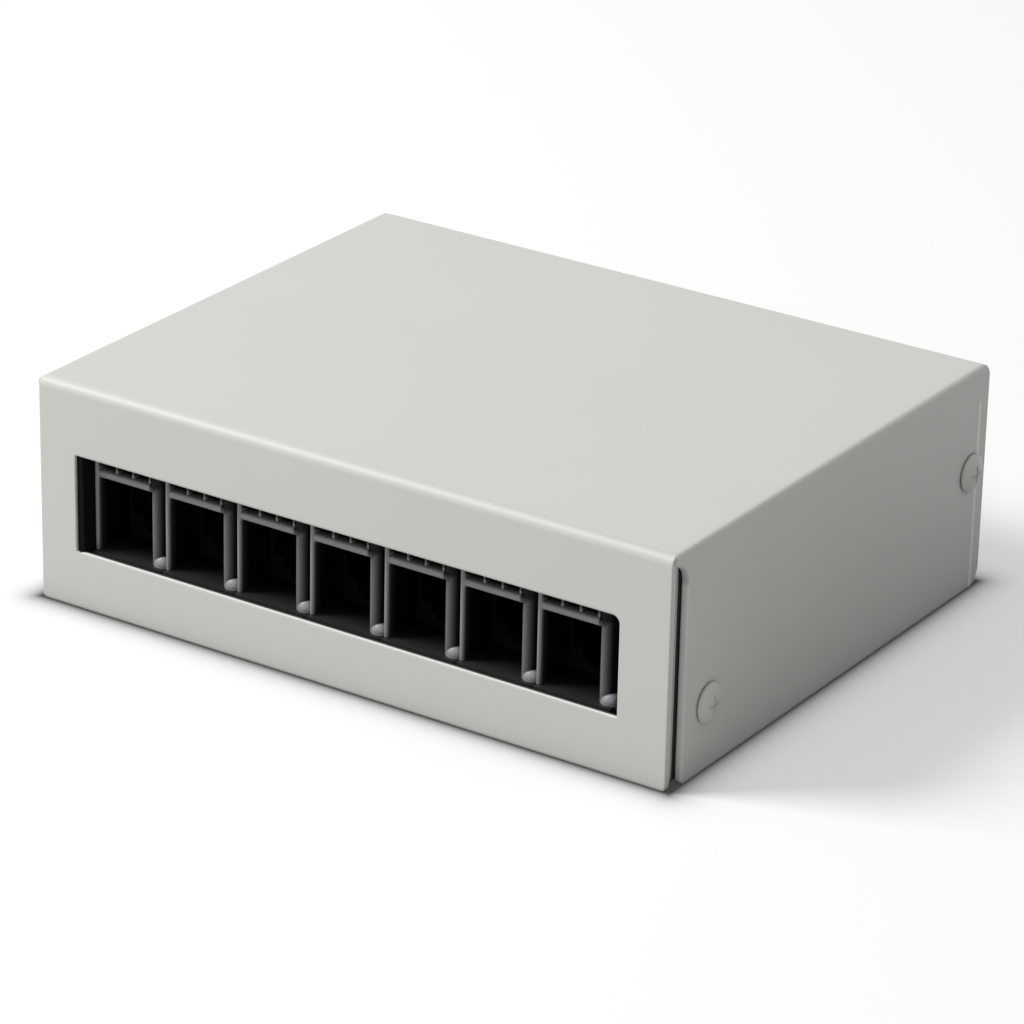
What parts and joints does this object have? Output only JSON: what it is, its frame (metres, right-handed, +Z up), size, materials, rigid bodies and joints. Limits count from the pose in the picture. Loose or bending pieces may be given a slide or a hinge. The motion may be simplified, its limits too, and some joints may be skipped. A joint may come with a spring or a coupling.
{
  "type": "ethernet distribution box",
  "caption": "Flat light-grey steel box with a row of black network ports behind one wide front window, wired from the rear.",
  "frame": {"origin": "centre of the footprint, on the table", "axes": "+X to the right seen from the window side, +Y from the window to the rear, +Z up"},
  "size_m": [0.1658, 0.129, 0.052],
  "materials": {
    "cover_paint": "light grey powder coat, fine texture",
    "screw_paint": "light grey paint, as the cover",
    "plated_sheet": "zinc-plated sheet",
    "plated_steel": "zinc-plated, bright",
    "frame_plastic": "black moulded, slightly glossy",
    "jack_plastic": "black moulded, matt",
    "contact_gold": "gold-plated spring wire",
    "board_laminate": "green solder mask",
    "block_plastic": "white moulded",
    "blade_tin": "tinned",
    "brass_turned": "turned brass",
    "bush_rubber": "black, matt"
  },
  "bodies": {
    "root": {"cover": "cover_paint", "base_plate": "plated_sheet", "cover_screws": "screw_paint", "cover_nuts": "plated_steel", "port_carrier": "plated_sheet", "carrier_screws": "plated_steel", "board_standoffs": "brass_turned", "standoff_screws": "plated_steel", "circuit_board": "board_laminate", "board_screws": "plated_steel", "tie_bar": "plated_sheet", "tie_bar_screws": "plated_steel", "entry_grommet_left": "bush_rubber", "entry_grommet_right": "bush_rubber", "earth_stud": "brass_turned", "earth_washer": "plated_steel", "earth_nut": "brass_turned", "port_module_1": "frame_plastic", "jack_1": "jack_plastic", "jack_contacts_1": "contact_gold", "terminal_block_1": "block_plastic", "blade_set_1": "blade_tin", "port_module_2": "frame_plastic", "jack_2": "jack_plastic", "jack_contacts_2": "contact_gold", "terminal_block_2": "block_plastic", "blade_set_2": "blade_tin", "port_module_3": "frame_plastic", "jack_3": "jack_plastic", "jack_contacts_3": "contact_gold", "terminal_block_3": "block_plastic", "blade_set_3": "blade_tin", "port_module_4": "frame_plastic", "jack_4": "jack_plastic", "jack_contacts_4": "contact_gold", "terminal_block_4": "block_plastic", "blade_set_4": "blade_tin", "port_module_5": "frame_plastic", "jack_5": "jack_plastic", "jack_contacts_5": "contact_gold", "terminal_block_5": "block_plastic", "blade_set_5": "blade_tin", "port_module_6": "frame_plastic", "jack_6": "jack_plastic", "jack_contacts_6": "contact_gold", "terminal_block_6": "block_plastic", "blade_set_6": "blade_tin", "port_module_7": "frame_plastic", "jack_7": "jack_plastic", "jack_contacts_7": "contact_gold", "terminal_block_7": "block_plastic", "blade_set_7": "blade_tin"}
  },
  "joints": []
}
